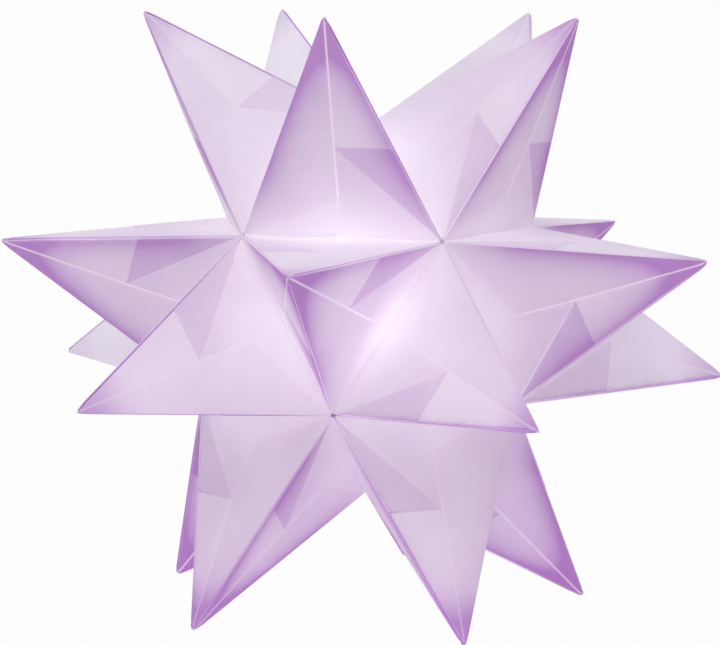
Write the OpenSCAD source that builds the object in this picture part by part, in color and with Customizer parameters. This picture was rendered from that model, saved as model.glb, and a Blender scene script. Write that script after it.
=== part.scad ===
// Folded paper star with twenty spikes and a small battery lamp hung at its centre.
// Thirty equal units, each folded from one square sheet, sit on the edges of an icosahedron.
// A unit makes one face of each of two neighbouring spikes, and its two flaps tuck
// behind the next face of each spike, which is all that holds the star together.

/* [Paper] */
// Side of the square sheet that each unit is folded from
paper_side = 200; // [120:5:300]
// Thickness of a folded sheet, two layers with the air between them
sheet_t = 0.4; // [0.2:0.05:0.6]
// Clearance between a face and the flap tucked behind it
layer_gap = 0.3; // [0.2:0.05:0.5]
// How far the rolled tip of a spike falls short of the ideal point
tip_blunt = 2.8; // [2.4:0.1:6]
// Radius of the pinhole where five units meet
pinhole_r = 1.2; // [0.8:0.1:3]
// Clearance between the edge of a flap and the folds round it
flap_clear = 1.2; // [1:0.1:3]

/* [Lamp housing] */
// Outer diameter of the lamp housing
housing_d = 28; // [28:1:40]
// Wall of the housing
housing_wall = 1.4; // [1:0.1:1.6]
// Clearance between lamp parts that fit into one another
fit_gap = 0.15; // [0.1:0.05:0.2]
// Width of the ledge that the circuit board rests on
ledge_w = 1; // [0.6:0.1:2]
// Height of that ledge
ledge_h = 1.2; // [0.8:0.1:2]
// Thickness of the battery cover
cover_t = 1.4; // [1:0.1:3]
// Depth of the plug under the battery cover
plug_h = 1.5; // [1:0.1:3]
// Diameter of the boss that holds the hanger wire
boss_d = 6; // [4:0.5:8]
// Height of that boss
boss_h = 4; // [3:0.5:8]
// How much smaller the radius of the frosted dome is than the housing's
dome_inset = 1; // [0.6:0.1:1.4]
// Wall of the dome
dome_wall = 1; // [0.6:0.1:1.2]

/* [Lamp inside] */
// Diameter of a coin cell
cell_d = 20; // [16:1:20]
// Thickness of a coin cell
cell_t = 3.2; // [3:0.1:5]
// Wall of the ring that keeps the cells centred
holder_wall = 0.8; // [0.5:0.1:0.9]
// Thickness of the circuit board
board_t = 1; // [0.6:0.1:1.6]
// Height of the contact spring when it is pressed by the cells
spring_h = 1.2; // [0.8:0.1:2]
// Thickness of the spring's strip
spring_t = 0.3; // [0.2:0.05:0.5]
// Inner diameter of the spring
spring_d = 6; // [5:0.5:10]
// Diameter of the light-emitting diode
led_d = 5; // [4:1:6]
// Length of the diode from its flange to its nose
led_h = 7.6; // [5:0.2:9]
// Diameter of the diode's two legs
leg_d = 0.6; // [0.4:0.1:0.8]
// Distance between the legs
leg_pitch = 2.54; // [2:0.02:3]

/* [Switch] */
// Travel of the slide switch
switch_travel = 2; // [1:0.1:2.4]
// Width and height of the switch's knob
knob = 3; // [2:0.1:3.2]
// How far the knob stands out of the housing
knob_proud = 1; // [0.5:0.1:2]
// Width of the lip that keeps the knob in its slot
lip = 0.8; // [0.5:0.1:0.9]
// Thickness of that lip
lip_t = 0.8; // [0.5:0.1:0.8]
// Clearance between the knob and its slot
slot_gap = 0.2; // [0.1:0.05:0.3]

/* [Hanger] */
// Diameter of the wire that the lamp hangs on
wire_d = 0.8; // [0.6:0.1:1.2]
// Diameter of the wire's flattened head
head_d = 1.8; // [1.6:0.1:3]
// Thickness of that head
head_t = 0.4; // [0.3:0.1:1]
// Diameter of the clear disc that keeps the wire in the top junction
disc_d = 4; // [3.5:0.1:8]
// Thickness of that disc
disc_t = 0.8; // [0.6:0.1:1.5]

/* [Hidden] */
$fn = 64;

UNITS = 5; // units in a ring, and twice as many round the belt

// Icosahedron, with one corner straight up
edge = paper_side * (sqrt(2) - 1);
corner_r = edge * sin(72);
mid_r = edge * cos(36);
ring_polar = atan(2);
corner_lean = ring_polar / 2;

// One face of a spike: an isosceles triangle on the edge, with 45 degrees at the tip
tip_half = 22.5;
face_h = edge / 2 / tan(tip_half);
face_in = edge / 2 / sqrt(3);
face_lean = asin(face_in / face_h);
spike_h = face_h * cos(face_lean);
spike_tilt = asin(face_in / mid_r);
spike_foot = mid_r * cos(spike_tilt);
face_rise = 90 - spike_tilt - face_lean;
spike_angle = acos(cos(2 * tip_half) / (1 + cos(2 * tip_half)));

// Layers, measured inwards from the face; the flaps stop where a spike gets too narrow
flap_depth = sheet_t + layer_gap;
flap_short = (flap_depth + sheet_t) / face_in * spike_h + flap_clear;
fold_overlap = 0.1;

// Slope of a spike's ridge over the top junction, where the disc rests on five of them
tip_r = spike_foot + spike_h;
tip_polar = acos(spike_foot / corner_r);
ridge_rise = atan((tip_r * cos(tip_polar) - corner_r) / (tip_r * sin(tip_polar)));

// Levels in the lamp, measured from the plane between its housing and its dome
housing_r = housing_d / 2;
bore_r = housing_r - housing_wall;
dome_r = housing_r - dome_inset;
rest_gap = 0.05;
cell_gap = 0.1;
spring_z = ledge_h + board_t;
cell_z = spring_z + spring_h;
plug_z = cell_z + 2 * (cell_t + cell_gap);
cover_z = plug_z + plug_h;
wire_foot = cover_z + cover_t;
disc_z = corner_r + disc_d / 2 * tan(ridge_rise) + rest_gap;
lip_r = bore_r - 0.5;
switch_z = (spring_z + plug_z) / 2;
led_flange = 0.4;
led_flange_t = 1;
cut = 1;

// Where two lines meet; a line is [direction of its inward normal, distance from the origin]
function meet(p, q) =
    [p[1] * sin(q[0]) - q[1] * sin(p[0]), q[1] * cos(p[0]) - p[1] * cos(q[0])]
    / sin(q[0] - p[0]);

// Corners of an outline at a depth; an edge is [direction, distance, distance per depth]
function outline(edges, depth) =
    let (n = len(edges))
    [for (i = [0:n - 1])
        let (p = edges[i], q = edges[(i + 1) % n],
             c = meet([p[0], p[1] + p[2] * depth], [q[0], q[1] + q[2] * depth]))
        [c[0], c[1], -depth]];

// A flat sheet between two depths, with slanted edges that follow the folds
module sheet(edges, depth) {
    n = len(edges);
    polyhedron(
        points = concat(outline(edges, depth), outline(edges, depth + sheet_t)),
        faces = concat(
            [[for (i = [n - 1:-1:0]) i]],
            [[for (i = [0:n - 1]) n + i]],
            [for (i = [0:n - 1])
                let (j = (i + 1) % n)
                [i, j, n + j, n + i]]
        )
    );
}

// Inward distance of a side of the face from its middle, less what the fold takes
side_d = -edge / 2 * cos(tip_half);
side_slope = 1 / tan(spike_angle);
base_slope = -tan(face_rise);
tip_slope = -tan(face_lean);

module face() {
    sheet([
        [90, -fold_overlap, base_slope],
        [180 + tip_half, side_d + flap_depth / sin(spike_angle), side_slope],
        [270, -(spike_h - tip_blunt) / cos(face_lean), tip_slope],
        [-tip_half, side_d, side_slope]
    ], 0);
}

module flap() {
    sheet([
        [90 + tip_half, edge / 2 * sin(tip_half) + flap_clear, 0],
        [180, 0, 0],
        [270, -(spike_h - flap_short) / cos(face_lean), tip_slope],
        [-tip_half, side_d, side_slope]
    ], flap_depth);
}

// Half of a unit: a face of one spike, and its flap behind the next face of that spike
module half_unit() {
    on_face() face();
    rotate(120, [0, sin(spike_tilt), cos(spike_tilt)]) on_face() flap();
}

module on_face() {
    translate([0, 0, mid_r]) rotate([face_rise, 0, 0]) children();
}

module paper_unit(a, b) {
    along = (b - a) / edge;
    out = (a + b) / norm(a + b);
    side = cross(out, along);
    color("#d6bfe2")
    multmatrix([for (k = [0:2]) [along[k], side[k], out[k], 0]])
    difference() {
        union() {
            half_unit();
            rotate(180) half_unit();
        }
        for (end = [-1, 1]) rotate([0, end * corner_lean, 0])
            cylinder(r = pinhole_r, h = 2 * corner_r);
    }
}

function corner(polar, turn) =
    corner_r * [sin(polar) * cos(turn), sin(polar) * sin(turn), cos(polar)];
TOP = corner(0, 0);
BOTTOM = corner(180, 0);
function upper(i) = corner(ring_polar, 72 * i);
function lower(i) = corner(180 - ring_polar, 72 * i + 36);

// The lamp's parts stand on its own axis, which is the star's upright axis
module tube(outer, inner, low, high) {
    translate([0, 0, low]) difference() {
        cylinder(r = outer, h = high - low);
        translate([0, 0, -cut]) cylinder(r = inner, h = high - low + 2 * cut);
    }
}

module lamp_housing() {
    color("white") difference() {
        union() {
            tube(housing_r, bore_r, 0, cover_z);
            tube(housing_r, bore_r - ledge_w, 0, ledge_h);
        }
        switch_slot();
    }
}

module switch_slot() {
    wide = knob + 2 * slot_gap;
    high = wide + switch_travel;
    translate([bore_r - cut, -wide / 2, switch_z - high / 2])
        cube([housing_wall + 2 * cut, wide, high]);
}

// Switched on, the knob is at the top of its slot
module switch_slider() {
    side = knob + 2 * lip;
    color("dimgray") translate([0, 0, switch_z + switch_travel / 2]) {
        translate([lip_r - lip_t, -side / 2, -side / 2]) cube([lip_t, side, side]);
        translate([lip_r - lip_t / 2, -knob / 2, -knob / 2])
            cube([housing_r + knob_proud - lip_r + lip_t / 2, knob, knob]);
    }
}

module battery_cover() {
    color("white") difference() {
        union() {
            translate([0, 0, plug_z]) cylinder(r = bore_r - fit_gap, h = plug_h + cut / 2);
            translate([0, 0, cover_z]) cylinder(r = housing_r, h = cover_t);
            translate([0, 0, cover_z]) cylinder(d = boss_d, h = cover_t + boss_h);
        }
        translate([0, 0, wire_foot]) cylinder(r = wire_d / 2 + rest_gap, h = boss_h + cut);
    }
}

module battery_holder() {
    inner = cell_d / 2 + fit_gap;
    color("black") tube(inner + holder_wall, inner, spring_z, plug_z - cell_gap);
}

module coin_cell(low) {
    color("silver") translate([0, 0, low]) cylinder(d = cell_d, h = cell_t);
}

module contact_spring() {
    inner = spring_d / 2;
    outer = inner + 2 * spring_h;
    low = spring_z + rest_gap;
    high = cell_z - rest_gap - spring_t;
    color("gold") rotate_extrude() polygon([
        [inner, low],
        [outer, high],
        [outer, high + spring_t],
        [inner, low + spring_t]
    ]);
}

module circuit_board() {
    color("darkgreen") translate([0, 0, ledge_h]) difference() {
        cylinder(r = bore_r - fit_gap, h = board_t);
        leg_places() cylinder(d = leg_d + 2 * fit_gap, h = 3 * board_t, center = true);
    }
}

module leg_places() {
    for (side = [-1, 1]) translate([side * leg_pitch / 2, 0, 0]) children();
}

module led() {
    body_h = led_h - led_d / 2;
    color("lightyellow") {
        translate([0, 0, ledge_h - body_h]) {
            sphere(d = led_d);
            cylinder(d = led_d, h = body_h);
        }
        translate([0, 0, ledge_h - led_flange_t])
            cylinder(r = led_d / 2 + led_flange, h = led_flange_t);
        translate([0, 0, ledge_h - led_flange_t / 2])
            leg_places() cylinder(d = leg_d, h = board_t + led_flange_t / 2);
    }
}

module diffuser_dome() {
    color("white", 0.6) rotate_extrude() intersection() {
        difference() {
            circle(dome_r);
            circle(dome_r - dome_wall);
        }
        translate([0, -2 * dome_r]) square([2 * dome_r, 2 * dome_r]);
    }
}

module hanger_wire() {
    top = disc_z + disc_t + rest_gap;
    color("silver") {
        translate([0, 0, wire_foot + rest_gap])
            cylinder(d = wire_d, h = top - wire_foot);
        translate([0, 0, top]) cylinder(d = head_d, h = head_t);
    }
}

module retaining_disc() {
    color("white", 0.4) tube(disc_d / 2, wire_d / 2 + rest_gap, disc_z, disc_z + disc_t);
}

for (i = [1:UNITS]) {
    paper_unit(TOP, upper(i));
    paper_unit(upper(i), upper(i + 1));
    paper_unit(lower(i), lower(i + 1));
    paper_unit(BOTTOM, lower(i));
    paper_unit(upper(i), lower(i));
    paper_unit(lower(i), upper(i + 1));
}
lamp_housing();
battery_cover();
battery_holder();
coin_cell(cell_z);  // coin_cell_lower
coin_cell(cell_z + cell_t + cell_gap);  // coin_cell_upper
contact_spring();
circuit_board();
led();
diffuser_dome();
switch_slider();
hanger_wire();
retaining_disc();
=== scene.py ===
"""A folded paper star with twenty spikes, lit from inside by a small battery lamp."""

import math
import random
from types import SimpleNamespace

import bmesh
import bpy
from mathutils import Matrix, Vector


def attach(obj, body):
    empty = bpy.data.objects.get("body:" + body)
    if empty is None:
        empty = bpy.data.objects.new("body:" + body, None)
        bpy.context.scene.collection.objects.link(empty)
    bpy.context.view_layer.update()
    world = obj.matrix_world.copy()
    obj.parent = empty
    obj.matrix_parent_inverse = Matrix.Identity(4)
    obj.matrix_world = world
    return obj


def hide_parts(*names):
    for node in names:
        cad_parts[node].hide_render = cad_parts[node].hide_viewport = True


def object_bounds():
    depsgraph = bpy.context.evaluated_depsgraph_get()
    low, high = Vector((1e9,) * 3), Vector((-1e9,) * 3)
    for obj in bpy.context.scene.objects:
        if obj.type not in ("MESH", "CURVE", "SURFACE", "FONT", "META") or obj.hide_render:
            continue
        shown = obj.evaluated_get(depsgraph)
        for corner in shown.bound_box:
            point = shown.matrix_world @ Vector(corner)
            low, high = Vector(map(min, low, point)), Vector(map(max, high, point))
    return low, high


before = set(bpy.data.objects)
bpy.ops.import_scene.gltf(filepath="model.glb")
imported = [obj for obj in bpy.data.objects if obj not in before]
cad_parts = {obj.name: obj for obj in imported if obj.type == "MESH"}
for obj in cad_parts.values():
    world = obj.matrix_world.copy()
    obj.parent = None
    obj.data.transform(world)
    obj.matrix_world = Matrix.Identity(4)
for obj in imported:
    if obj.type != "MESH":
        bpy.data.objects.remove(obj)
CAD_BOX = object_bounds()

bl_info = {
    "name": "Folded Paper Star",
    "version": (1, 0, 0),
    "blender": (4, 5, 0),
    "location": "View3D > Sidebar > Paper Star",
    "description": "Paper star lantern of thirty folded units with a lamp inside",
    "category": "Add Mesh",
}

MM = 0.001
SIDES = (1, -1)
TIP_HALF = math.radians(22.5)  # half of a spike's 45 degree tip
CORNER_TURN = math.atan(2)  # from one corner of an icosahedron to the next
SHARP = math.radians(40)  # edges bent by more than this are drawn sharp


def linear(code):
    """A colour written as sRGB hex, as the linear values that shaders take."""
    values = [int(code[i : i + 2], 16) / 255 for i in (1, 3, 5)]
    return [c / 12.92 if c <= 0.04045 else ((c + 0.055) / 1.055) ** 2.4 for c in values]


def colour(name, description, code):
    return bpy.props.FloatVectorProperty(
        name=name,
        description=description,
        subtype="COLOR",
        size=3,
        min=0,
        max=1,
        default=linear(code),
    )


def length(name, description, millimetres):
    return bpy.props.FloatProperty(
        name=name,
        description=description,
        subtype="DISTANCE",
        unit="LENGTH",
        precision=5,
        default=millimetres * MM,
    )


class PaperStarSizes(bpy.types.PropertyGroup):
    sheet_side: length("Sheet side", "Side of the square that a unit is folded from", 200)
    sheet_t: length("Sheet thickness", "Thickness of a folded sheet", 0.3)
    layer_depth: length("Layer depth", "From a face to the flap behind it", 0.7)
    pocket_back: length("Pocket back", "From a ridge back to the free edge beside it", 0.45)
    tip_blunt: length("Blunt tip", "How far a tip falls short of its ideal point", 2.8)
    tip_roll: length("Rolled tip", "Length over which a tip curls in", 7)
    tip_curl: length("Tip curl", "How far a tip curls in", 0.7)
    ridge_bend: length("Ridge bend", "Radius of the fold along a spike's ridge", 0.5)
    valley_bend: length("Valley bend", "Radius of the fold between two spikes", 0.9)
    wander: length("Valley wander", "How far a valley's fold strays from straight", 1.6)
    belly: length("Belly", "How far the middle of a face stands out", 0.9)
    crease: length("Crease", "Half the width of a pressed crease", 0.35)
    step: length("Layer step", "How far hidden layers lift the sheet", 0.2)
    cell: length("Mesh cell", "Size of the squares that a sheet is divided into", 4)


class PaperStarColours(bpy.types.PropertyGroup):
    paper_near: colour("Paper near the lamp", "Sheet colour at the foot of a spike", "#E2DEE3")
    paper_far: colour("Paper at the tips", "Sheet colour at a spike's tip", "#E0DDE3")
    # The layer tints also tint the painted shade: faces turned down, low tips, ridges' sides and
    # the slit
    paper_layer_and_shade: colour("Paper with a layer", "Tint of the sheet over a hidden layer", "#DAC6E7")
    # The glows, daylight and lamp spot are light painted on as emission
    glow_near: colour("Glow near the lamp", "Light through the paper by the lamp", "#C4B4C8")
    glow_far: colour("Glow at the tips", "Light through the paper at a tip", "#EBCDF3")
    glow_layer_and_shade: colour("Glow through a layer", "Tint that a hidden layer gives the glow", "#BE6CCD")
    glow_crease: colour("Glow of a crease", "Light through a pressed crease", "#EFD3F2")
    daylight: colour("Daylight", "Light through the spikes at the back", "#EFE6F8")
    lamp_spot: colour("Lamp spot", "Glow of a valley that is close to the lamp", "#F6F4FF")


# ---- Small tools ----


def new_piece(name, bm, *materials):
    mesh = bpy.data.meshes.new(name)
    bm.to_mesh(mesh)
    bm.free()
    piece = bpy.data.objects.new(name, mesh)
    bpy.context.scene.collection.objects.link(piece)
    for material in materials:
        mesh.materials.append(material)
    return piece


def thicken(piece, thickness):
    """Gives a sheet its thickness, inwards, and keeps its cut edges sharp."""
    wall = piece.modifiers.new("wall", "SOLIDIFY")
    wall.thickness = thickness
    wall.offset = -1
    graph = bpy.context.evaluated_depsgraph_get()
    mesh = bpy.data.meshes.new_from_object(piece.evaluated_get(graph))
    piece.modifiers.clear()
    piece.data = mesh
    mesh.set_sharp_from_angle(angle=SHARP)
    return piece


def add(tree, kind, *inputs, named=None, out=0, **attributes):
    """Adds a node, sets its attributes, fills or links its inputs, and returns an output."""
    node = tree.nodes.new("ShaderNode" + kind)
    for key, value in attributes.items():
        setattr(node, key, value)
    for key, value in (dict(enumerate(inputs)) | (named or {})).items():
        if isinstance(value, bpy.types.NodeSocket):
            tree.links.new(value, node.inputs[key])
        else:
            node.inputs[key].default_value = value
    return node.outputs[out]


def material_tree(name):
    material = bpy.data.materials.new(name)
    material.use_nodes = True
    tree = material.node_tree
    tree.nodes.clear()
    return material, tree, tree.nodes.new("ShaderNodeOutputMaterial")


def rgba(value):
    return (*value, 1.0)


# ---- The paper ----

SOFT = {"interpolation_type": "SMOOTHSTEP"}
PLUS = {"operation": "ADD"}
MINUS = {"operation": "SUBTRACT"}
TIMES = {"operation": "MULTIPLY"}

LAMP_GLOW = (-0.01, -0.08, 0.01)  # in metres; the place on the star where the lamp's painted glow is brightest
LAMP_REACH = (0.85, 0.15)  # edge lengths from there to where its light starts and is full
FAR_OUT = 1.9  # edge lengths from the star's middle at which the colour of the tips is full
INSIDE_GLOW = 0.5  # glow of the sheets' inner sides, as a share of the outer sides'
TURNED_DOWN = (0.45, -0.45)  # a normal's Z on a face lit from above and on a shaded one
TURNED_UP = (0.5, 0.9)  # the same where daylight starts to fall on a face and is full
DAYLIGHT_FROM = (-0.6, 0.7)  # edge lengths back from the middle to where it starts and is full
BACK_DAYLIGHT = 0.95  # the most daylight that comes through the spikes at the back
TOP_DAYLIGHT = 0.45  # the most that falls on the faces on top
SPOT_RADIUS = 0.34  # edge lengths from the middle of a valley over which the lamp's spot fades
SPOT_SHARE = (0.1, 0.42)  # how much of that spot shows away from the lamp and close to it

# The sheet itself
CLOUDS_PER_METRE = 45.0  # clouds of about 22 mm
FIBRES_PER_METRE = 700.0  # clumps of about 1.4 mm, as single fibres are too fine to show
NOISE_SPAN = (0.3, 0.7)  # where nearly all of a noise's values lie
CLOUD_TONE = (0.965, 1.035)
FIBRE_TONE = (0.95, 1.05)
FIBRE_RELIEF = 0.05 * MM

# The pattern on a face: u runs along its foot and v up its middle, both in edge lengths
POCKET_TOP = 0.5  # v of the upper edge of the pocket behind the face
LAYER_BLUR = 0.004  # how softly the edge of a hidden layer shows
FOLD_BLUR = 0.005  # the same for the pocket's slanted fold
FLAP_BLUR = 0.01  # the same for the tucked flap, which lies looser
RIDGE_REACH = 0.065  # distance over which the painted shade beside a ridge fades
LINE_WIDTH = (0.008, 0.002)  # from the middle of a pressed line to its edge and its full part
RIM_WIDTH = (0.013, 0.004)  # the same for the rim of a folded ridge
RIM_INSET = 0.002  # from that ridge to the middle of its rim
SLIT = (-0.006, -0.012)  # past that ridge, where the flap starts to show, with its painted shade, and shows fully
RIDGE_FROM = (0.0, 0.4)  # v where the painted shade beside a ridge starts and is full
POCKET_FROM = (0.05, 0.4)  # the same for the pocket
MIDDLE_FROM = (0.16, 0.26)  # the same for the line up a face's middle
TIP_FROM = (0.85, 1.16)  # the same for the rolled tip
LONG_TIP_FROM = (0.6, 1.2)  # the same for the tip in shade
LOW_DOWN = (-0.5, -1.5)  # heights in edge lengths where a tip's painted shade starts and is darkest
LOW_SHADE = 0.8  # how dark the lowest tips are, where 1 is a tip in full shade
RIDGE_BY_LAMP = 0.5  # what the lamp leaves of the painted shade beside a ridge

# How much each layer behind a point tints it, and the painted shade on faces turned down, on tips
# and in the slit, where 1 is the full tint
SHADED_TINT = 0.12
POCKET_TINT = 0.12
FLAP_TINT = 0.07
TIP_TINT = 0.7
LONG_TIP_TINT = 0.55
SLIT_TINT = 0.3

# How much each depends on the way that a face looks: lit from above, and turned down
RIDGE_DARK = (0.12, 1.0)
DOUBLED_DARK = (0.28, 0.38)
CREASE_BRIGHT = (0.35, 0.85)
LAMP_GAIN = (0.1, 0.42)


def surface(tree, unit):
    """Where a point lies in the star and on its face, and which way the sheet looks there."""
    at = SimpleNamespace()
    edge = unit.edge
    at.place = add(tree, "TexCoord", out="Object")
    at.back, at.high = (add(tree, "SeparateXYZ", at.place, out=axis) for axis in "YZ")
    normal = add(tree, "TexCoord", out="Normal")
    at.upward = add(tree, "SeparateXYZ", normal, out="Z")
    at.under = add(tree, "MapRange", at.upward, *TURNED_DOWN, **SOFT)
    outward = add(tree, "VectorMath", normal, at.place, operation="DOT_PRODUCT", out="Value")
    at.outside = add(tree, "MapRange", outward, 0.0, 0.01 * edge, INSIDE_GLOW, 1.0)
    away = add(tree, "VectorMath", at.place, operation="LENGTH", out="Value")
    at.far = add(tree, "MapRange", away, unit.middle, FAR_OUT * edge)
    aside = add(tree, "VectorMath", at.place, LAMP_GLOW, operation="DISTANCE", out="Value")
    at.close = add(tree, "MapRange", aside, *(edge * reach for reach in LAMP_REACH), **SOFT)

    # Its place on its face, and its distances to the free ridge and the folded one
    at.face = add(tree, "UVMap", uv_map="Face")
    at.u, at.v = (add(tree, "SeparateXYZ", at.face, out=axis) for axis in "XY")
    slope = -0.5 * edge / unit.height
    half = add(tree, "Math", at.v, slope, 0.5, operation="MULTIPLY_ADD")
    at.free = add(tree, "Math", half, at.u, **PLUS)
    at.folded = add(tree, "Math", half, at.u, **MINUS)

    # The pocket behind it, below its upper edge and right of the middle, and its slanted fold
    low = (POCKET_TOP + LAYER_BLUR, POCKET_TOP - LAYER_BLUR)
    at.low = add(tree, "MapRange", at.v, *low, **SOFT)
    at.side = add(tree, "MapRange", at.u, -LAYER_BLUR, LAYER_BLUR, **SOFT)
    at.pocket = add(tree, "Math", at.low, at.side, **TIMES)
    at.slant = add(tree, "Math", add(tree, "Math", at.u, at.v, **PLUS), POCKET_TOP, **MINUS)
    return at


def layers_and_painted_shade(tree, at, edge):
    """How much the layers behind a point and the painted shade on it tint it, from 0 for a single
    sheet to 1.
    """
    # Painted shade beside both ridges, which is weak at the foot, on lit faces and by the lamp
    ridge = add(tree, "Math", at.free, at.folded, operation="MINIMUM")
    ridge = add(tree, "Math", ridge, -1 / RIDGE_REACH, **TIMES)
    ridge = add(tree, "Math", ridge, operation="EXPONENT", use_clamp=True)
    for share in (
        add(tree, "MapRange", at.v, *RIDGE_FROM, **SOFT),
        add(tree, "MapRange", at.under, 0, 1, *RIDGE_DARK),
        add(tree, "MapRange", at.close, 0, 1, 1.0, RIDGE_BY_LAMP),
    ):
        ridge = add(tree, "Math", ridge, share, **TIMES)

    # The pocket, doubled beyond its slanted fold and painted darker there on faces turned down, and
    # the next unit's flap, tucked in it
    over = add(tree, "MapRange", at.slant, -FOLD_BLUR, FOLD_BLUR, **SOFT)
    doubled = add(tree, "Math", at.low, over, **TIMES)
    single = add(tree, "Math", at.pocket, doubled, **MINUS)
    single = add(tree, "Math", single, add(tree, "MapRange", at.v, *POCKET_FROM), **TIMES)
    dark = add(tree, "MapRange", at.under, 0, 1, *DOUBLED_DARK)
    doubled = add(tree, "Math", doubled, dark, **TIMES)
    slope = math.tan(TIP_HALF)
    edge_line = add(tree, "Math", at.u, -slope, -0.5 * slope, operation="MULTIPLY_ADD")
    tucked = add(tree, "Math", at.v, edge_line, **PLUS)
    tucked = add(tree, "MapRange", tucked, -FLAP_BLUR, FLAP_BLUR, **SOFT)
    tucked = add(tree, "Math", tucked, at.side, use_clamp=True, **MINUS)

    # The rolled layers of the tip, with painted shade where it gets the least light: in shade and
    # low down
    tip = add(tree, "MapRange", at.v, *TIP_FROM, **SOFT)
    heights = (edge * height for height in LOW_DOWN)
    lowest = add(tree, "MapRange", at.high, *heights, 0.0, LOW_SHADE)
    dim = add(tree, "Math", at.under, lowest, operation="MAXIMUM")
    painted_tip_shade = add(tree, "MapRange", at.v, *LONG_TIP_FROM, **SOFT)
    painted_tip_shade = add(tree, "Math", painted_tip_shade, dim, **TIMES)

    # Painted shade on the flap where it shows through the slit at the folded ridge
    slit = add(tree, "MapRange", at.folded, *SLIT)

    layers = add(tree, "Math", doubled, ridge, **PLUS)
    # The faces turned down get painted shade of their own, like a layer
    for layer, tint in (
        (at.under, SHADED_TINT),
        (single, POCKET_TINT),
        (tucked, FLAP_TINT),
        (tip, TIP_TINT),
        (painted_tip_shade, LONG_TIP_TINT),
        (slit, SLIT_TINT),
    ):
        layers = add(tree, "Math", layer, tint, layers, operation="MULTIPLY_ADD")
    layers.node.use_clamp = True
    return layers


def painted_crease_light(tree, at):
    """Painted light along lines that let more light through: a face's middle, its seam and its
    folded ridge, brightest on faces turned down.
    """
    middle = add(tree, "Math", at.u, operation="ABSOLUTE")
    middle = add(tree, "MapRange", middle, *LINE_WIDTH, **SOFT)
    middle = add(tree, "Math", middle, add(tree, "MapRange", at.v, *MIDDLE_FROM, **SOFT), **TIMES)
    seam = add(tree, "Math", at.slant, operation="ABSOLUTE")
    seam = add(tree, "MapRange", seam, *LINE_WIDTH, **SOFT)
    for share in (at.pocket, add(tree, "Attribute", attribute_name="seam", out="Fac")):
        seam = add(tree, "Math", seam, share, **TIMES)
    rim = add(tree, "Math", at.folded, RIM_INSET, **MINUS)
    rim = add(tree, "Math", rim, operation="ABSOLUTE")
    rim = add(tree, "MapRange", rim, *RIM_WIDTH, **SOFT)
    lines = add(tree, "Math", middle, seam, operation="MAXIMUM")
    lines = add(tree, "Math", lines, rim, operation="MAXIMUM")
    return add(tree, "Math", lines, add(tree, "MapRange", at.under, 0, 1, *CREASE_BRIGHT), **TIMES)


def paper(colours, unit):
    """Thin plain dyed paper, folded and lit from behind: matt and finely fibrous. The lamp's light
    through it is a painted glow, palest by the lamp; each layer tucked behind it, and painted shade
    on faces turned down, low tips and ridges' sides, make it darker and more purple."""
    material, tree, output = material_tree("thin_lilac_paper")
    at = surface(tree, unit)
    # layers holds the hidden layers together with the painted shade
    layers = layers_and_painted_shade(tree, at, unit.edge)
    # creases holds the painted light along the creases and the folded ridge
    creases = painted_crease_light(tree, at)

    # A painted pool of the lamp's light: a pale spot where a valley comes closest to it
    spot = add(tree, "VectorMath", at.face, operation="LENGTH", out="Value")
    spot = add(tree, "MapRange", spot, SPOT_RADIUS, 0.0, **SOFT)
    spot = add(tree, "Math", spot, add(tree, "MapRange", at.close, 0, 1, *SPOT_SHARE), **TIMES)

    # Painted daylight that comes through the spikes at the back and falls on the faces on top
    depths = (unit.edge * depth for depth in DAYLIGHT_FROM)
    behind = add(tree, "MapRange", at.back, *depths, 0.0, BACK_DAYLIGHT)
    lit = add(tree, "MapRange", at.under, 0, 1, 1.0, 0.0)
    daylight = add(tree, "Math", behind, lit, **TIMES)
    on_top = add(tree, "MapRange", at.upward, *TURNED_UP, 0.0, TOP_DAYLIGHT, **SOFT)
    daylight = add(tree, "Math", daylight, on_top, operation="MAXIMUM")

    # The sheet's faint clouds, and its fibres, which give it tone and relief
    clouds = add(tree, "TexNoise", at.place, named={"Scale": CLOUDS_PER_METRE, "Detail": 4.0})
    clouds = add(tree, "MapRange", clouds, *NOISE_SPAN, *CLOUD_TONE)
    fibres = add(tree, "TexNoise", at.place, named={"Scale": FIBRES_PER_METRE, "Detail": 3.0})
    grain = add(tree, "MapRange", fibres, *NOISE_SPAN, *FIBRE_TONE)

    def tone(near, distant, layer, crease):
        plain = add(tree, "MixRGB", at.far, rgba(near), rgba(distant))
        tint = add(tree, "MixRGB", layers, rgba(linear("#FFFFFF")), rgba(layer))
        tinted = add(tree, "MixRGB", 1.0, plain, tint, blend_type="MULTIPLY")
        return add(tree, "MixRGB", creases, tinted, rgba(crease))

    base = tone(colours.paper_near, colours.paper_far, colours.paper_layer_and_shade, colours.paper_near)
    base = add(tree, "VectorMath", base, named={"Scale": clouds}, operation="SCALE")
    glow = tone(colours.glow_near, colours.glow_far, colours.glow_layer_and_shade, colours.glow_crease)
    glow = add(tree, "MixRGB", daylight, glow, rgba(colours.daylight))
    glow = add(tree, "MixRGB", spot, glow, rgba(colours.lamp_spot))
    gain = add(tree, "MapRange", at.under, 0, 1, *LAMP_GAIN)
    bright = add(tree, "Math", at.close, gain, 1.0, operation="MULTIPLY_ADD")
    for share in (clouds, at.outside, grain):
        bright = add(tree, "Math", bright, share, **TIMES)
    glow = add(tree, "VectorMath", glow, named={"Scale": bright}, operation="SCALE")

    bump = {"Strength": 0.15, "Distance": FIBRE_RELIEF, "Height": fibres}
    inputs = {
        "Roughness": 0.78,
        "Specular IOR Level": 0.25,
        "Emission Strength": 0.5,
        "Base Color": base,
        "Emission Color": glow,
        "Normal": add(tree, "Bump", named=bump),
    }
    tree.links.new(add(tree, "BsdfPrincipled", named=inputs), output.inputs["Surface"])
    return material


# ---- The folded units ----

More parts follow.
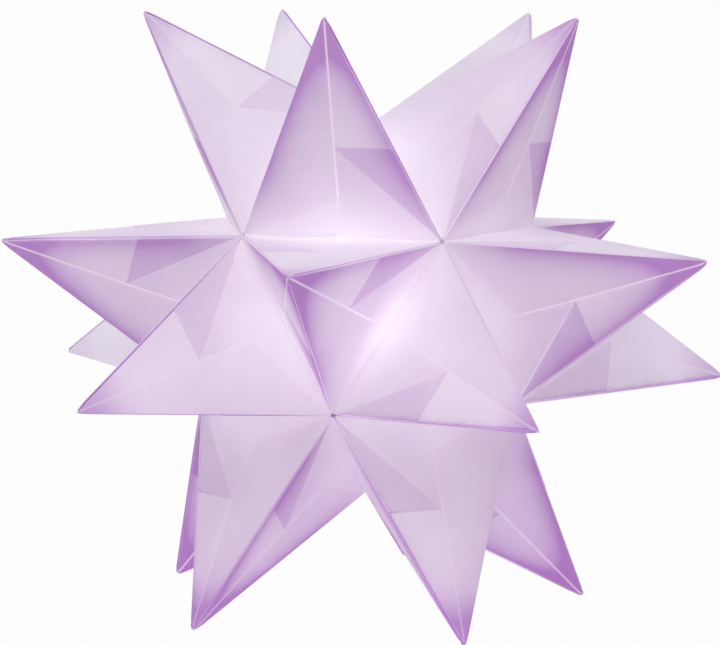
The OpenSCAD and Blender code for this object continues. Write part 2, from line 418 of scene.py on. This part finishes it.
ON_CUT = 1e-7  # in metres; a point this close to a cut lies on it
SAME_POINT = 0.02 * MM  # points closer together than this are one
FLAP_DIP = 0.03  # how steeply a flap slopes away from the face in front of it
BELLY_SHARE = (0.3, 1.2)  # least and most that a face stands out, of the size given for it
STRAY_SHARE = (0.3, 1)  # the same for how far a valley strays
VALLEY_WAVES = (2, 3)  # how often a valley may swing to a side
VALLEY_REACH = 0.07  # edge lengths up a face over which that dies away
CREASE_FROM = 0.3  # v where the crease up a face's middle starts
CREASE_DENT = 0.6  # its depth, as a share of a layer's step
SEAM_DENT = 0.5  # the same for the slanted seam
SEAM_SHOWS = 0.6  # the most that a seam shows as a line


def fold(bm, start, along, angle, radius):
    """Folds what lies to the left of a line, up or down by an angle, round a bend."""
    across = Vector((-along.y, along.x, 0))
    rise = math.copysign(1, angle)
    angle = abs(angle)
    reach = radius * math.tan(angle / 2)
    for vert in bm.verts:
        offset = vert.co - start
        side = offset.dot(across)
        if side <= -reach:
            continue
        turn = angle * min((side + reach) / (2 * reach), 1)
        arm = radius - rise * vert.co.z
        past = max(side - reach, 0)
        level = -reach + arm * math.sin(turn) + past * math.cos(angle)
        height = radius - arm * math.cos(turn) + past * math.sin(angle)
        vert.co = start + along * offset.dot(along) + across * level
        vert.co.z = rise * height


class Unit:
    """Sizes of one folded unit, from the side of its square sheet."""

    def __init__(self, sizes):
        self.sizes = sizes
        self.edge = sizes.sheet_side * (math.sqrt(2) - 1)
        self.height = self.edge / 2 / math.tan(TIP_HALF)
        inner = self.edge / 2 / math.sqrt(3)
        self.middle = self.edge * math.cos(math.radians(36))
        lean = math.asin(inner / self.height)
        tilt = math.asin(inner / self.middle)
        self.rise = math.pi / 2 - tilt - lean
        double = math.cos(2 * TIP_HALF)
        self.ridge = math.acos(double / (1 + double))
        self.flap_inset = sizes.layer_depth / math.sin(self.ridge)

    def past_fold(self, x, v):
        """How far a point lies past the ridge that a face shares with its own flap."""
        ridge = (x - self.edge / 2) * math.cos(TIP_HALF) + v * math.sin(TIP_HALF)
        return ridge + self.flap_inset

    def belly(self, x, v):
        """How far a point of a face stands out, as a share of the most it does."""
        up = v / self.height
        right = x / self.edge + 0.5 - up / 2
        left = 1 - up - right
        return 27 * up * right * left if min(up, right, left) > 0 else 0.0


def cut(bm, point, normal, clear=False):
    """Cuts the sheet along a line; clear removes what lies beyond it."""
    bmesh.ops.bisect_plane(
        bm,
        geom=bm.verts[:] + bm.edges[:] + bm.faces[:],
        dist=ON_CUT,
        plane_co=point,
        plane_no=normal,
        clear_outer=clear,
    )


def flat_sheet(unit):
    """The unit before its last folds: a parallelogram of two faces and two flaps."""
    s = unit.sizes
    e, h = unit.edge, unit.height
    # A grid a little bigger than the unit, which the cuts bring down to its outline
    across, up = 1.5 * e, 2.1 * h
    columns, rows = (2 * round(size / s.cell / 2) for size in (across, up))
    bm = bmesh.new()
    bmesh.ops.create_grid(
        bm,
        x_segments=columns,
        y_segments=rows,
        size=0.5,
        matrix=Matrix.Diagonal((across, up, 1, 1)),
    )
    right = Vector((math.cos(TIP_HALF), math.sin(TIP_HALF), 0))
    shoulder = Vector((math.sin(2 * TIP_HALF), math.cos(2 * TIP_HALF), 0))
    inset = unit.flap_inset
    bend = s.ridge_bend * math.tan((math.pi - unit.ridge) / 2)
    for side in SIDES:
        corner = Vector((side * e / 2, 0, 0))
        tip = Vector((0, side * h, 0))
        knee = Vector((0, side * e / 2, 0))
        free = side * Vector((right.x, -right.y, 0))
        # The flap's outer edge, the other face's free edge, and the tip's two blunt cuts
        cut(bm, tip * (1 - s.tip_blunt / h), side * shoulder, clear=True)
        cut(bm, corner - free * s.pocket_back, free, clear=True)
        cut(bm, tip * (1 - s.tip_blunt / h), tip, clear=True)
        slanted = Matrix.Rotation(2 * TIP_HALF, 3, "Z") @ tip
        cut(bm, tip * (1 - s.tip_blunt / h), slanted, clear=True)
        # Rows of edges for the ridge fold and for the pressed creases
        for shift in (-bend, 0, bend):
            cut(bm, corner + side * right * (shift - inset), right)
        for shift in (-s.crease, 0, s.crease):
            cut(bm, knee + Vector((0, shift, 0)), Vector((0, 1, 0)))
            cut(bm, knee + Vector((shift, 0, 0)), Vector((1, 1, 0)))
    for shift in (-s.crease, s.crease):
        cut(bm, Vector((shift, 0, 0)), Vector((1, 0, 0)))
    for shift in (-s.valley_bend, -s.valley_bend / 2, s.valley_bend / 2, s.valley_bend):
        cut(bm, Vector((0, shift, 0)), Vector((0, 1, 0)))
    bmesh.ops.remove_doubles(bm, verts=bm.verts[:], dist=SAME_POINT)
    return bm


def write_face_map(bm, unit):
    """Keeps each point's place on its face, in edge lengths, for the paper's pattern."""
    layer = bm.loops.layers.uv.new("Face")
    for bm_face in bm.faces:
        side = math.copysign(1, bm_face.calc_center_median().y)
        for loop in bm_face.loops:
            x, y, _ = loop.vert.co
            loop[layer].uv = side * x / unit.edge, side * y / unit.edge


def press(bm, unit, shape):
    """Gives the sheet its belly, hidden layers, creases, curled tips and stray valley."""
    s = unit.sizes
    knee = unit.edge / 2
    bellies = {side: s.belly * shape.uniform(*BELLY_SHARE) for side in SIDES}
    waves = shape.choice(VALLEY_WAVES)
    phase = shape.uniform(0, math.pi)
    stray = s.wander * shape.uniform(*STRAY_SHARE)
    for vert in bm.verts:
        side = 1 if vert.co.y >= 0 else -1
        x, v = side * vert.co.x, side * vert.co.y
        height = bellies[side] * unit.belly(x, v)
        if x > 0 and v < knee and x + v > knee:
            height += s.step
        if abs(x) < s.crease / 2 and v > CREASE_FROM * unit.edge:
            height -= CREASE_DENT * s.step
        if abs(x + v - knee) < s.crease / 2 and v < knee and x > 0:
            height -= SEAM_DENT * s.step
        curl = max(v - unit.height + s.tip_roll, 0) / (s.tip_roll - s.tip_blunt)
        height -= s.tip_curl * curl**2
        along = vert.co.x / unit.edge
        wave = math.sin(waves * math.pi * along + phase) * math.cos(math.pi * along) ** 2
        height += stray * wave * math.exp(-((v / (VALLEY_REACH * unit.edge)) ** 2))
        height -= FLAP_DIP * max(unit.past_fold(x, v), 0)
        vert.co.z = height


def folded_unit(unit, shape):
    """One unit round its own edge: Z points out of the star and X runs along the edge."""
    s = unit.sizes
    bm = flat_sheet(unit)
    write_face_map(bm, unit)
    press(bm, unit, shape)
    right = Vector((math.cos(TIP_HALF), math.sin(TIP_HALF), 0))
    for side in SIDES:
        corner = Vector((side * unit.edge / 2, 0, 0)) - side * unit.flap_inset * right
        # Walking down the ridge keeps its flap on the left
        along = side * Vector((right.y, -right.x, 0))
        fold(bm, corner, along, unit.ridge - math.pi, s.ridge_bend)
    fold(bm, Vector(), Vector((1, 0, 0)), 2 * unit.rise, s.valley_bend)
    bmesh.ops.rotate(bm, verts=bm.verts[:], matrix=Matrix.Rotation(-unit.rise, 3, "X"))
    bmesh.ops.translate(bm, verts=bm.verts[:], vec=(0, 0, unit.middle))
    bmesh.ops.dissolve_degenerate(bm, edges=bm.edges[:], dist=SAME_POINT)
    bmesh.ops.recalc_face_normals(bm, faces=bm.faces[:])
    return bm


def edge_frames(unit):
    """A name and a placing for each unit, on the edges of an icosahedron."""
    fifth = math.radians(72)
    radius = unit.edge * math.sin(fifth)

    def corner(polar, turn):
        flat = math.sin(polar)
        return radius * Vector((flat * math.cos(turn), flat * math.sin(turn), math.cos(polar)))

    top, bottom = corner(0, 0), corner(math.pi, 0)
    upper = [corner(CORNER_TURN, fifth * i) for i in range(7)]
    lower = [corner(math.pi - CORNER_TURN, fifth * (i + 0.5)) for i in range(7)]
    for i in range(1, 6):
        yield f"top_unit_{i}", top, upper[i]
        yield f"upper_unit_{i}", upper[i], upper[i + 1]
        yield f"belt_unit_{2 * i - 1}", upper[i], lower[i]
        yield f"belt_unit_{2 * i}", lower[i], upper[i + 1]
        yield f"lower_unit_{i}", lower[i], lower[i + 1]
        yield f"bottom_unit_{i}", bottom, lower[i]


def placing(a, b):
    """Turns a unit so that its X runs from a to b and its Z points out of the star."""
    along = (b - a).normalized()
    out = (a + b).normalized()
    side = out.cross(along)
    return Matrix((along, side, out)).transposed()


class PAPERSTAR_OT_units(bpy.types.Operator):
    """Fold the thirty paper units and set them round the star"""

    bl_idname = "paper_star.units"
    bl_label = "Paper Units"

    def execute(self, context):
        sizes = context.scene.paper_star_sizes
        unit = Unit(sizes)
        sheet = paper(context.scene.paper_star_colours, unit)
        for name, a, b in edge_frames(unit):
            shape = random.Random(name)
            bm = folded_unit(unit, shape)
            bmesh.ops.rotate(bm, verts=bm.verts[:], matrix=placing(a, b))
            for bm_face in bm.faces:
                bm_face.smooth = True
            piece = thicken(new_piece(f"paper_{name}", bm, sheet), sizes.sheet_t)
            seam = piece.data.attributes.new("seam", "FLOAT", "POINT")
            shown = shape.uniform(0, SEAM_SHOWS)
            seam.data.foreach_set("value", [shown] * len(piece.data.vertices))
            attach(piece, "star")
            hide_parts(name)
        return {"FINISHED"}


# ---- The lamp ----


def grained(name, tones, grain, depth, values):
    """A finish mottled between two close tones, with a fine relief of the same grain."""
    material, tree, output = material_tree(name)
    place = add(tree, "TexCoord", out="Object")
    noise = add(tree, "TexNoise", place, named={"Scale": 1 / grain, "Detail": 3.0})
    dark, pale = (rgba(linear(tone)) for tone in tones)
    tone = add(tree, "MixRGB", noise, dark, pale)
    relief = add(tree, "Bump", named={"Strength": 0.4, "Distance": depth, "Height": noise})
    inputs = values | {"Base Color": tone, "Normal": relief}
    shader = add(tree, "BsdfPrincipled", named=inputs)
    tree.links.new(shader, output.inputs["Surface"])
    return material


def moulded_white_abs():
    """Injection-moulded ABS from a spark-eroded tool: satin, with a fine orange peel."""
    tones = ("#E9E8E4", "#F5F4F1")
    return grained("moulded_white_abs", tones, 0.4 * MM, 0.01 * MM, {"Roughness": 0.42})


def moulded_black_abs():
    """The same plastic in black, which shows its grain as a soft grey sheen."""
    tones = ("#101112", "#1D1E20")
    return grained("moulded_black_abs", tones, 0.4 * MM, 0.01 * MM, {"Roughness": 0.5})


def moulded_grey_acetal():
    """Slippery acetal of a slide switch: smooth, waxy and slightly mottled."""
    tones = ("#5B5D61", "#6A6C70")
    return grained("moulded_grey_acetal", tones, 0.8 * MM, 0.004 * MM, {"Roughness": 0.35})


def frosted_polycarbonate():
    """Polycarbonate bead-blasted inside, so the light behind it spreads to an even glow."""
    values = {
        "Roughness": 0.6,
        "Transmission Weight": 0.35,
        "IOR": 1.58,
        "Emission Color": rgba(linear("#FFF8F2")),
        "Emission Strength": 1.0,
    }
    return grained("frosted_polycarbonate", ("#F3F1EE", "#FDFCFA"), 0.3 * MM, 0.01 * MM, values)


def clear_pet():
    """Die-cut PET film: clear and glossy, with faint drawing lines."""
    values = {"Roughness": 0.08, "Transmission Weight": 0.9, "IOR": 1.57}
    return grained("clear_pet", ("#F4F5F8", "#FCFCFF"), 1.0 * MM, 0.003 * MM, values)


def plated_phosphor_bronze():
    """Spring strip with a thin gold flash: bright, warm and lightly drawn."""
    values = {"Metallic": 1.0, "Roughness": 0.28}
    return grained("plated_phosphor_bronze", ("#C9A24F", "#E2C274"), 0.2 * MM, 0.004 * MM, values)


def drawn_steel_wire():
    """Bright drawn stainless wire, with fine lines from the die."""
    values = {"Metallic": 1.0, "Roughness": 0.25}
    return grained("drawn_steel_wire", ("#A9ABAE", "#C9CBCE"), 0.15 * MM, 0.003 * MM, values)


def solder_resist():
    """Green solder resist over a glass-fibre board: glossy, with the weave just showing."""
    values = {"Roughness": 0.3, "Coat Weight": 0.4}
    return grained("solder_resist", ("#0D4A24", "#14602F"), 0.5 * MM, 0.01 * MM, values)


def lit_epoxy():
    """The clear epoxy of a warm white diode, lit from its middle."""
    values = {
        "Roughness": 0.12,
        "Transmission Weight": 0.5,
        "IOR": 1.53,
        "Emission Color": rgba(linear("#FFF3E6")),
        "Emission Strength": 3.0,
    }
    return grained("lit_epoxy", ("#F6EFDD", "#FFF9EC"), 0.6 * MM, 0.002 * MM, values)


def spun_nickel_steel():
    """A coin cell's nickel-plated can: fine rings from its press and a mild satin shine."""
    material, tree, output = material_tree("spun_nickel_steel")
    place = add(tree, "TexCoord", out="Object")
    rings = add(
        tree,
        "TexWave",
        place,
        named={"Scale": 0.35 / MM, "Distortion": 0.6, "Detail": 2.0},
        wave_type="RINGS",
        rings_direction="Z",
    )
    tone = add(tree, "MixRGB", rings, rgba(linear("#A6A7A8")), rgba(linear("#CACBCB")))
    relief = add(tree, "Bump", named={"Strength": 0.3, "Distance": 0.004 * MM, "Height": rings})
    shader = add(
        tree,
        "BsdfPrincipled",
        named={"Metallic": 1.0, "Roughness": 0.34, "Base Color": tone, "Normal": relief},
    )
    tree.links.new(shader, output.inputs["Surface"])
    return material


LAMP_FINISHES = {
    moulded_white_abs: ("lamp_housing", "battery_cover"),
    moulded_black_abs: ("battery_holder",),
    moulded_grey_acetal: ("switch_slider",),
    frosted_polycarbonate: ("diffuser_dome",),
    clear_pet: ("retaining_disc",),
    plated_phosphor_bronze: ("contact_spring",),
    drawn_steel_wire: ("hanger_wire",),
    solder_resist: ("circuit_board",),
    lit_epoxy: ("led",),
    spun_nickel_steel: ("coin_cell_lower", "coin_cell_upper"),
}


class PAPERSTAR_OT_lamp(bpy.types.Operator):
    """Give the pieces of the lamp inside their finishes"""

    bl_idname = "paper_star.lamp"
    bl_label = "Lamp Finishes"

    def execute(self, context):
        for finish, names in LAMP_FINISHES.items():
            material = finish()
            for name in names:
                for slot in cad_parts[name].material_slots:
                    slot.material = material
        return {"FINISHED"}


# ---- The stage ----

AMBIENT = 0.18  # strength of the light from all round
FLOOR_RADIUS = 60.0  # in metres, which takes the floor's edge out to the horizon
FLOOR_GAP = 0.5 * MM  # between the floor and the lowest tips
FLOOR_WHITE = 0.98  # how nearly the floor is plain white, which leaves a faint shadow
SOFTBOXES = (  # name, place in metres, side in metres, power in watts
    ("key_softbox", (-0.65, -1.1, 1.85), 1.6, 13),
    ("front_softbox", (-0.1, -2.1, 0.3), 1.2, 4.5),
)
CAMERA_ANGLES = (-6.92, 6.75, 0.7)  # azimuth, elevation and roll in degrees
CAMERA_DISTANCE = 1.239  # in metres from the star's middle
CAMERA_LENS = 146.2  # in millimetres
CAMERA_SHIFT = (-0.0109, -0.0184)


class PAPERSTAR_OT_stage(bpy.types.Operator):
    """Set the floor, the soft studio lights and the camera"""

    bl_idname = "paper_star.stage"
    bl_label = "Studio Stage"

    def execute(self, context):
        scene = context.scene
        scene.view_settings.view_transform = "Standard"
        self.world(scene)
        self.floor()
        self.lamps(scene)
        self.camera(scene)
        return {"FINISHED"}

    def seen(self, tree):
        """1 where the camera sees a surface, directly or in glass or metal, and 0 for light."""
        path = tree.nodes.new("ShaderNodeLightPath").outputs
        direct = add(
            tree, "Math", path["Is Camera Ray"], path["Is Glossy Ray"], operation="MAXIMUM"
        )
        return add(tree, "Math", direct, path["Is Transmission Ray"], operation="MAXIMUM")

    def world(self, scene):
        world = bpy.data.worlds.new("studio")
        world.use_nodes = True
        scene.world = world
        tree = world.node_tree
        tree.nodes.clear()
        output = tree.nodes.new("ShaderNodeOutputWorld")
        lit = add(tree, "Background", rgba(linear("#FFFFFF")), AMBIENT)
        shown = add(tree, "Background", rgba(linear("#FFFFFF")), 1.0)
        mix = add(tree, "MixShader", self.seen(tree), lit, shown)
        tree.links.new(mix, output.inputs["Surface"])

    def floor(self):
        bm = bmesh.new()
        bmesh.ops.create_circle(bm, cap_ends=True, radius=FLOOR_RADIUS, segments=96)
        bmesh.ops.translate(bm, verts=bm.verts[:], vec=(0, 0, CAD_BOX[0].z - FLOOR_GAP))
        material, tree, output = material_tree("pale_floor")
        plain = add(tree, "BsdfDiffuse", rgba(linear("#EEEEEE")))
        white = add(tree, "Emission", rgba(linear("#FFFFFF")), 1.0)
        share = add(tree, "Math", self.seen(tree), FLOOR_WHITE, operation="MULTIPLY")
        mix = add(tree, "MixShader", share, plain, white)
        tree.links.new(mix, output.inputs["Surface"])
        new_piece("floor", bm, material)

    def lamps(self, scene):
        for name, place, side, power in SOFTBOXES:
            light = bpy.data.lights.new(name, "AREA")
            light.shape = "SQUARE"
            light.size = side
            light.energy = power
            lamp = bpy.data.objects.new(name, light)
            lamp.location = place
            lamp.rotation_euler = (-Vector(place)).to_track_quat("-Z", "Y").to_euler()
            scene.collection.objects.link(lamp)

    def camera(self, scene):
        azimuth, elevation, roll = (math.radians(angle) for angle in CAMERA_ANGLES)
        data = bpy.data.cameras.new("camera")
        data.lens = CAMERA_LENS
        data.sensor_width = 36
        data.shift_x, data.shift_y = CAMERA_SHIFT
        camera = bpy.data.objects.new("camera", data)
        back = Vector(
            (
                math.sin(azimuth) * math.cos(elevation),
                -math.cos(azimuth) * math.cos(elevation),
                math.sin(elevation),
            )
        )
        camera.location = back * CAMERA_DISTANCE
        aim = (-back).to_track_quat("-Z", "Y").to_matrix()
        camera.rotation_euler = (aim @ Matrix.Rotation(roll, 3, "Z")).to_euler()
        scene.collection.objects.link(camera)
        scene.camera = camera


class PAPERSTAR_PT_panel(bpy.types.Panel):
    """The star's sizes and colours, and the steps that make it"""

    bl_label = "Paper Star"
    bl_space_type = "VIEW_3D"
    bl_region_type = "UI"
    bl_category = "Paper Star"

    def draw(self, context):
        for group in (context.scene.paper_star_sizes, context.scene.paper_star_colours):
            for key in group.__annotations__:
                self.layout.prop(group, key)
        for operator in OPERATORS:
            self.layout.operator(operator.bl_idname)


OPERATORS = (PAPERSTAR_OT_stage, PAPERSTAR_OT_units, PAPERSTAR_OT_lamp)
CLASSES = (PaperStarSizes, PaperStarColours, *OPERATORS, PAPERSTAR_PT_panel)


def register():
    for cls in CLASSES:
        bpy.utils.register_class(cls)
    bpy.types.Scene.paper_star_sizes = bpy.props.PointerProperty(type=PaperStarSizes)
    bpy.types.Scene.paper_star_colours = bpy.props.PointerProperty(type=PaperStarColours)


def unregister():
    del bpy.types.Scene.paper_star_colours
    del bpy.types.Scene.paper_star_sizes
    for cls in reversed(CLASSES):
        bpy.utils.unregister_class(cls)


def main():
    register()
    bpy.ops.paper_star.stage()
    bpy.ops.paper_star.units()
    bpy.ops.paper_star.lamp()


if __name__ == "__main__":
    main()
